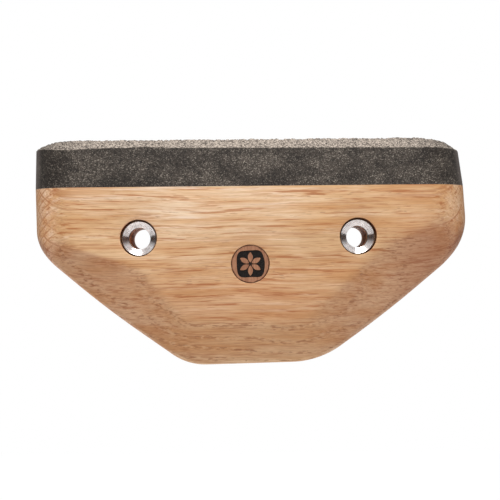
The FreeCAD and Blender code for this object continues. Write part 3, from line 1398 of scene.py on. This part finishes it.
    def _sink(self, skin: Skin, hole: Hole) -> tuple[list[int], list[int]]:
        """Add the wall and floor of one round hole, and its bore if it goes right through.

        Args:
            skin: Skin that the hole is added to.
            hole: The hole.

        Returns:
            Point numbers of its rim in front and of its rim at the back.
        """
        front = -self.form.depth
        ease = self.rim_ease
        ease_steps, wall_steps, bore_steps = 3, 3, 8
        count = self.circle_points
        circles = []
        for i in range(ease_steps + 1):
            angle = math.pi / 2 * i / ease_steps
            radius = hole.radius + ease * (1 - math.sin(angle))
            y = front + ease * (1 - math.cos(angle))
            circles.append(ring(hole.x, hole.z, radius, y, count))
        for i in range(1, wall_steps + 1):
            y = front + ease + (hole.depth - ease) * i / wall_steps
            circles.append(ring(hole.x, hole.z, hole.radius, y, count))
        if hole.bore is not None:
            x, z = hole.bore
            floor = front + hole.depth
            for i in range(bore_steps + 1):
                y = floor - (floor + ease) * i / bore_steps
                circles.append(ring(x, z, self.form.bore_radius, y, count))
            circles.append(ring(x, z, self.form.bore_radius + ease, 0.0, count))
        rims = [skin.loop(circle) for circle in circles]
        skin.loft(rims)
        if hole.bore is None:
            skin.faces.append(tuple(rims[-1]))
            return rims[0], []
        return rims[0], rims[-1]


@dataclass(frozen=True)
class Swell:
    """A rise of the stone's arris, or a dip if it is below 0, in millimetres."""

    x: float
    width: float
    rise: float


@dataclass
class StoneEdge:
    """The stone slab: honed front and ends, split top that climbs to the wall."""

    form: Form
    finish: StoneFinish
    left_arris: float = 20.9
    right_arris: float = 19.4
    back_height: float = 28.4
    left_end_drop: float = 4.2
    right_end_drop: float = 6.2
    end_drop_width: float = 20.0
    end_drop_start: float = 0.05
    swells: tuple[Swell, ...] = (Swell(-98.0, 13.0, -1.1), Swell(-54.0, 7.0, 0.6))
    swell_depth_share: float = 0.2
    lump: float = 0.33
    lump_size: Span = (7.0, 6.0)
    lump_layers: int = 3
    crystal: float = 0.42
    crystal_size: float = 1.15
    grit: float = 0.2
    grit_size: float = 0.8
    relief_fade: float = 0.9
    relief_at_front: float = 0.02
    relief_at_ends: float = 0.35
    arris_break: float = 0.45
    wall_steps: int = 14
    wall_crowding: float = 1.3
    crease: float = 38.0
    pitch: float = 0.5

    def half_length(self) -> float:
        """Reach of an end, taken alike for both where only the rounding depends on it."""
        return self.form.left.joint_reach

    def columns(self) -> list[float]:
        """Places of the columns along the slab as shares of its reach, finer at the ends.

        Returns:
            Shares from -1 to 1.
        """
        radius = self.form.end_radius
        straight = self.half_length() - radius
        arc_steps = round(radius * math.pi / 2 / self.pitch)
        flat_steps = round(straight / self.pitch)
        places = [straight * i / flat_steps for i in range(flat_steps)]
        for i in range(arc_steps + 1):
            places.append(straight + radius * math.sin(math.pi / 2 * i / arc_steps))
        shares = [place / self.half_length() for place in places]
        return [-share for share in reversed(shares[1:])] + shares

    def front_y(self, share: float) -> float:
        """Place of the honed front along Y, rounded at the ends.

        Args:
            share: Place along the slab as a share of its reach.

        Returns:
            The Y of the front there.
        """
        radius = self.form.end_radius
        over = max(0.0, abs(share) * self.half_length() - (self.half_length() - radius))
        return -self.form.depth + radius - math.sqrt(max(0.0, radius**2 - over**2))

    def back_y(self, share: float) -> float:
        """Place of the back along Y, with the eased back corners."""
        to_end = self.half_length() * (1 - abs(share))
        return -max(0.0, self.form.back_chamfer - to_end)

    def top_z(self, share: float, y: float) -> float:
        """Height of the smooth top before it is roughened.

        Args:
            share: Place along the slab as a share of its reach.
            y: Place along Y.

        Returns:
            The height above the bores.
        """
        reach = self.form.end_at(share).joint_reach
        across = (share + 1) / 2
        depth_share = (y + self.form.depth) / self.form.depth
        arris = self.left_arris + (self.right_arris - self.left_arris) * across
        height = arris + (self.back_height - arris) * depth_share
        at_arris = max(0.0, 1 - depth_share / self.swell_depth_share)
        for swell in self.swells:
            away = (share * reach - swell.x) / swell.width
            height += swell.rise * at_arris * math.exp(-(away**2))
        to_end = reach * (1 - abs(share)) + self.end_drop_start
        short = max(0.0, self.end_drop_width - to_end) / self.end_drop_width
        end_drop = self.left_end_drop if share < 0 else self.right_end_drop
        drop = end_drop * (1 - math.sqrt(max(0.0, 1 - short**2)))
        return self.form.joint_height + height - drop

    def relief(self, x: float, y: float) -> float:
        """Relief of the split top, made of broad lumps, flat crystals and fine grit.

        Args:
            x: Place along X.
            y: Place along Y.

        Returns:
            How far the point stands proud, in millimetres.
        """
        lump_x, lump_y = self.lump_size
        octave_fall, octave_step, crystal_spread = 0.9, 2.0, 7.3
        lump_slice, grit_slice, crystal_slice = 3.0, 5.0, 9.0
        at_lump = Vector((x / lump_x, y / lump_y, lump_slice))
        lumps = space_noise.fractal(at_lump, octave_fall, octave_step, self.lump_layers)
        at_crystal = Vector((x / self.crystal_size, y / self.crystal_size, crystal_slice))
        _, near = space_noise.voronoi(at_crystal)
        level = space_noise.cell(near[0] * crystal_spread)
        grit = space_noise.noise(Vector((x / self.grit_size, y / self.grit_size, grit_slice)))
        return self.lump * lumps + self.crystal * (level - 0.5) + self.grit * grit

    def _on_slab(self, share: float, y: float, z: float) -> Point:
        """Point of the slab at a share of the reach that its leaning end has at that height."""
        share_up = (z - self.form.joint_height) / self.back_height
        return share * self.form.end_at(share).stone_reach(share_up), y, z

    def _split_top(self, skin: Skin, shares: list[float], rows: int) -> list[list[int]]:
        """Add the rough top.

        Args:
            skin: Skin that it is added to.
            shares: Places of the columns along the slab.
            rows: Number of steps from the front to the back.

        Returns:
            Point numbers of each column, from the front to the back.
        """
        top = []
        for share in shares:
            column = []
            front, back = self.front_y(share), self.back_y(share)
            reach = self.form.end_at(share).joint_reach
            from_end = reach * (1 - abs(share)) + self.relief_at_ends
            for j in range(rows + 1):
                y = front + (back - front) * j / rows
                from_front = (y - front) + self.relief_at_front
                fade = min(1.0, from_front / self.relief_fade)
                fade *= min(1.0, from_end / self.relief_fade)
                z = self.top_z(share, y) + self.relief(share * reach, y) * fade
                column.append(self._on_slab(share, y, z))
            top.append(skin.loop(column))
        skin.loft(top, closed=False)
        return top

    def _walls(self, skin: Skin, rim: list[int], rim_shares: list[float]) -> list[int]:
        """Add the honed front, the ends and the back.

        Args:
            skin: Skin that they are added to.
            rim: Point numbers of the top's border.
            rim_shares: Place along the slab of each of its points.

        Returns:
            Point numbers of the lowest ring, at the joint.
        """
        joint = self.form.joint_height
        rings = [rim]
        for step in range(self.wall_steps + 1):
            share_down = (step / self.wall_steps) ** self.wall_crowding
            points = []
            for number, share in zip(rim, rim_shares):
                _, y, top_z = skin.points[number]
                start = top_z - self.arris_break
                points.append(self._on_slab(share, y, start + (joint - start) * share_down))
            rings.append(skin.loop(points))
        skin.loft(rings)
        return rings[-1]

    def build(self) -> bpy.types.Object:
        """Build and dress the stone.

        Returns:
            The stone piece.
        """
        skin = Skin()
        shares = self.columns()
        rows = round(self.form.depth / self.pitch)
        top = self._split_top(skin, shares, rows)
        top_count = len(skin.points)
        fronts, backs = [column[0] for column in top], [column[-1] for column in top]
        rim = fronts + top[-1][1:-1] + backs[::-1] + top[0][-2:0:-1]
        side_count = rows - 1
        rim_shares = shares + [1.0] * side_count + shares[::-1] + [-1.0] * side_count
        lowest = self._walls(skin, rim, rim_shares)

        corner = len(shares)
        back_corner = corner + side_count
        left_corner = back_corner + corner
        front_row, right_side = lowest[:corner], lowest[corner:back_corner]
        back_row, left_side = lowest[back_corner:left_corner][::-1], lowest[left_corner:]
        skin.bridge(front_row[1:-1], back_row[1:-1], closed=False)
        skin.faces.append((front_row[-2], front_row[-1], *right_side, back_row[-1], back_row[-2]))
        skin.faces.append((front_row[0], front_row[1], back_row[1], back_row[0], *left_side))
        piece = skin.build("stone_edge_slab", self.finish.material(), self.crease)
        paint(piece, "rough", [1.0] * top_count + [0.0] * (len(skin.points) - top_count))
        return piece


@dataclass
class ScrewCup:
    """A turned cup for a countersunk screw, with the lathe's rings on its cone."""

    side: Side
    form: Form
    finish: SteelFinish
    outer_radius: float = 8.9
    rim_width: float = 0.25
    height: float = 8.0
    recess: float = 1.2
    foot_chamfer: float = 0.4
    rim_ease: float = 0.08
    cone_start_share: float = 0.3
    cone_sink_share: float = 0.4
    ring_pitch: float = 0.2
    ring_depth: float = 0.045
    ring_lean: float = 0.7
    crease: float = 30.0
    segments: int = 144

    def profile(self) -> list[Flat]:
        """Closed half section as radius and Y.

        Returns:
            Points of the section in order.
        """
        face = self.recess - self.form.depth
        foot = face + self.height
        bore = self.form.bore_radius
        cone_top = self.outer_radius - self.rim_width
        cone_depth = cone_top - bore
        ease = self.rim_ease
        points = [
            (self.outer_radius, face + ease),
            (self.outer_radius - ease, face),
            (cone_top + ease, face),
        ]
        steps = 2 * round(cone_depth / self.ring_pitch)
        start, end = cone_top - ease * self.cone_start_share, bore + ease
        for i in range(steps + 1):
            radius = start + (end - start) * i / steps
            y = face + (cone_top - radius) + ease * self.cone_sink_share
            cut = self.ring_depth * self.ring_lean if i % 2 else 0.0
            points.append((radius + cut, y + cut))
        points += [
            (bore, face + cone_depth + ease),
            (bore, foot - ease),
            (bore + ease, foot),
            (self.outer_radius - self.foot_chamfer, foot),
            (self.outer_radius, foot - self.foot_chamfer),
        ]
        return points

    def build(self) -> bpy.types.Object:
        """Build and dress the cup.

        Returns:
            The cup piece.
        """
        x = self.side.value * self.form.bore_spacing / 2
        skin = Skin()
        rims = [skin.loop(ring(x, 0.0, r, y, self.segments)) for r, y in self.profile()]
        skin.loft(rims + rims[:1])
        name = f"{self.side.name.lower()}_turned_cup"
        return skin.build(name, self.finish.material(), self.crease)


@dataclass
class BadgePlug:
    """The wooden plug with a charred field and a plain rosette left standing in it."""

    form: Form
    finish: PlugFinish
    radius: float = 10.0
    recess: float = 0.2
    thickness: float = 8.0
    rim_chamfer: float = 0.3
    rim_points: int = 96
    field_radius: float = 7.2
    field_depth: float = 0.35
    field_squareness: int = 4
    field_unevenness: float = 0.6
    field_ripple: float = 1.6
    field_points: int = 72
    petals: int = 6
    petal_start: float = 0.75
    petal_end: float = 6.2
    petal_half_width: float = 1.3
    petal_fullness: float = 0.85
    petal_steps: int = 10
    crease: float = 30.0

    def petal(self, number: int) -> list[Flat]:
        """Outline of one petal about the plug's middle.

        Args:
            number: Which petal, counted round the middle.

        Returns:
            Points of the petal in order.
        """
        turn = math.pi / 2 + 2 * math.pi * number / self.petals
        length = self.petal_end - self.petal_start
        outline = []
        for i in range(2 * self.petal_steps):
            share = i / self.petal_steps
            along = share if share <= 1 else 2 - share
            side = 1 if share <= 1 else -1
            reach = self.petal_start + length * along
            fullness = math.sin(math.pi * along) ** self.petal_fullness
            half = self.petal_half_width * fullness * side
            x = reach * math.cos(turn) - half * math.sin(turn)
            z = reach * math.sin(turn) + half * math.cos(turn)
            outline.append((x, z))
        return outline

    def field_edge(self) -> list[Flat]:
        """Uneven edge of the charred field, a square with round corners.

        Returns:
            Points of the edge in order, about the plug's middle.
        """
        power = self.field_squareness
        noise_slice = 4.0
        edge = []
        for i in range(self.field_points):
            angle = 2 * math.pi * i / self.field_points
            x, z = math.cos(angle), math.sin(angle)
            ripple = Vector((x * self.field_ripple, z * self.field_ripple, noise_slice))
            reach = self.field_radius / (x**power + z**power) ** (1 / power)
            reach += self.field_unevenness * space_noise.noise(ripple)
            edge.append((reach * x, reach * z))
        return edge

    def build(self) -> bpy.types.Object:
        """Build and dress the plug.

        Returns:
            The plug piece.
        """
        skin = Skin()
        x, z = self.form.plug_offset, -self.form.plug_drop
        face = self.recess - self.form.depth
        sections = (
            (self.radius - self.rim_chamfer, face),
            (self.radius, face + self.rim_chamfer),
            (self.radius, face + self.thickness),
        )
        rims = [skin.loop(ring(x, z, radius, y, self.rim_points)) for radius, y in sections]
        skin.loft(rims)
        skin.faces.append(tuple(rims[-1]))

        floor = face + self.field_depth
        outlines = [self.field_edge()] + [self.petal(i) for i in range(self.petals)]
        high = [skin.loop([(x + a, face, z + b) for a, b in line]) for line in outlines]
        low = [skin.loop([(x + a, floor, z + b) for a, b in line]) for line in outlines]
        for upper, lower in zip(high, low):
            skin.bridge(upper, lower)
        skin.fill(rims[0], [high[0]])
        skin.faces += [tuple(petal) for petal in high[1:]]
        skin.fill(low[0], low[1:])
        piece = skin.build("badge_disc", self.finish.material(x, z, self.radius), self.crease)
        charred = {number for line in low for number in line}
        paint(piece, "charred", [float(i in charred) for i in range(len(skin.points))])
        return piece


@dataclass(frozen=True)
class Softbox:
    """A square soft light. Its place, the point it faces and its side are in metres."""

    name: str
    place: Point
    aim: Point
    side: float
    power: float

    def hang(self) -> None:
        """Hang the light where the camera doesn't see it."""
        light = bpy.data.lights.new(self.name, "AREA")
        light.shape = "SQUARE"
        light.size = self.side
        light.energy = self.power
        lamp = put_in_scene(self.name, light)
        lamp.location = self.place
        facing = Vector(self.aim) - Vector(self.place)
        lamp.rotation_euler = facing.to_track_quat("-Z", "Y").to_euler()
        lamp.visible_camera = False


@dataclass(frozen=True)
class PhotoCamera:
    """The camera of the photograph: its place in metres, its turns in degrees, its lens."""

    place: Point = (-0.00183, -0.801, -0.0128)
    yaw: float = 0.198
    pitch: float = 0.476
    roll: float = 0.55
    focal_pixels: float = 1444.0
    frame_pixels: float = 500.0
    sensor_width: float = 36.0
    clip_start: float = 0.01

    def set_up(self) -> None:
        """Put the camera in its place and look through it."""
        lens = bpy.data.cameras.new("photo_camera")
        lens.sensor_width = self.sensor_width
        lens.lens = self.sensor_width * self.focal_pixels / self.frame_pixels
        lens.clip_start = self.clip_start
        yaw, pitch, roll = (math.radians(a) for a in (self.yaw, self.pitch, self.roll))
        forward = Vector(
            (math.sin(yaw) * math.cos(pitch), math.cos(yaw) * math.cos(pitch), math.sin(pitch))
        )
        camera = put_in_scene("photo_camera", lens)
        camera.location = self.place
        camera.rotation_mode = "QUATERNION"
        level = forward.to_track_quat("-Z", "Y")
        camera.rotation_quaternion = level @ Quaternion((0.0, 0.0, 1.0), -roll)
        bpy.context.scene.camera = camera


@dataclass(frozen=True)
class Studio:
    """Pale floor, surroundings, soft lights and the camera of the photograph."""

    floor_drop: float = 0.45
    floor_size: float = 5.0
    floor_paint: tuple[Colour, Colour] = ((0.90, 0.90, 0.90), (0.93, 0.93, 0.93))
    floor_mottle: Pattern = Pattern((300.0, 300.0, 300.0), 2.0, 0.5, 1.0)
    floor_glow: float = 0.62
    mirrored_gain: float = 1.1
    ambient: float = 0.42
    dark_room: float = 0.06
    dark_heights: Span = (0.1, 0.5)
    key: Softbox = Softbox("key_softbox", (0.0, -0.42, 0.42), (0.0, -0.03, 0.0), 0.3, 2.6)
    top: Softbox = Softbox("top_softbox", (0.0, -0.06, 0.40), (0.0, -0.03, 0.0), 0.22, 0.5)
    camera: PhotoCamera = PhotoCamera()

    def floor(self) -> None:
        """Lay the floor well below the hold; to the eye and in the steel it glows."""
        material, g = new_graph("white_floor")
        paint = g.mix(g.noise(g.position(), self.floor_mottle), *self.floor_paint)
        lit = g.node("ShaderNodeBsdfDiffuse", {}, {"Color": paint})
        seen = g.ray("Camera") + g.ray("Transmission")
        glow = seen * self.floor_glow + g.ray("Glossy") * (self.floor_glow * self.mirrored_gain)
        lift = g.node("ShaderNodeEmission", {}, {"Strength": glow})
        both = g.node("ShaderNodeAddShader", {}, {0: lit, 1: lift})
        g.finish("ShaderNodeOutputMaterial", both)
        half, z = self.floor_size / 2, -self.floor_drop
        corners = [(-half, -half, z), (half, -half, z), (half, half, z), (-half, half, z)]
        mesh = bpy.data.meshes.new("studio_floor")
        mesh.from_pydata(corners, [], [(0, 1, 2, 3)])
        mesh.materials.append(material)
        sheet = put_in_scene("studio_floor", mesh)

    def surroundings(self) -> None:
        """White for the eye, dim for the light, and dark at eye level in the steel."""
        world = bpy.data.worlds.new("studio")
        bpy.context.scene.world = world
        world.use_nodes = True
        g = Graph(world.node_tree)
        seen = g.ray("Camera") + g.ray("Transmission")
        glossy = g.ray("Glossy")
        _, _, z = g.axes(g.node("ShaderNodeTexCoord", {}, {}, "Generated"))
        mirrored = self.dark_room + (1 - self.dark_room) * abs(z).rise(*self.dark_heights)
        diffuse = 1 - g.larger(seen, glossy)
        level = seen + glossy * mirrored + diffuse * self.ambient
        white = {"Color": (1.0, 1.0, 1.0, 1.0), "Strength": level}
        g.finish("ShaderNodeOutputWorld", g.node("ShaderNodeBackground", {}, white))

    def build(self) -> None:
        """Set up floor, surroundings, lights and camera."""
        self.floor()
        self.surroundings()
        self.key.hang()
        self.top.hang()
        self.camera.set_up()
        bpy.context.scene.view_settings.view_transform = "Standard"


def main() -> None:
    """Build every sub-assembly in order and report it."""
    logging.basicConfig(level=logging.INFO, format="%(name)s: %(message)s")
    form = Form()
    steel = SteelFinish()
    makers: list[tuple[Callable[[], bpy.types.Object], str, Slot]] = [
        (OakBlock(form, Bevel(), OakFinish()).build, "oak_body", Slot.OAK),
        (StoneEdge(form, StoneFinish()).build, "stone_edge", Slot.STONE),
        (ScrewCup(Side.LEFT, form, steel).build, "left_screw_cup", Slot.STEEL),
        (ScrewCup(Side.RIGHT, form, steel).build, "right_screw_cup", Slot.STEEL),
        (BadgePlug(form, PlugFinish()).build, "badge_plug", Slot.PLUG),
    ]
    for make, node, slot in makers:
        settle(make(), node)
    Studio().build()


if __name__ == "__main__":
    main()
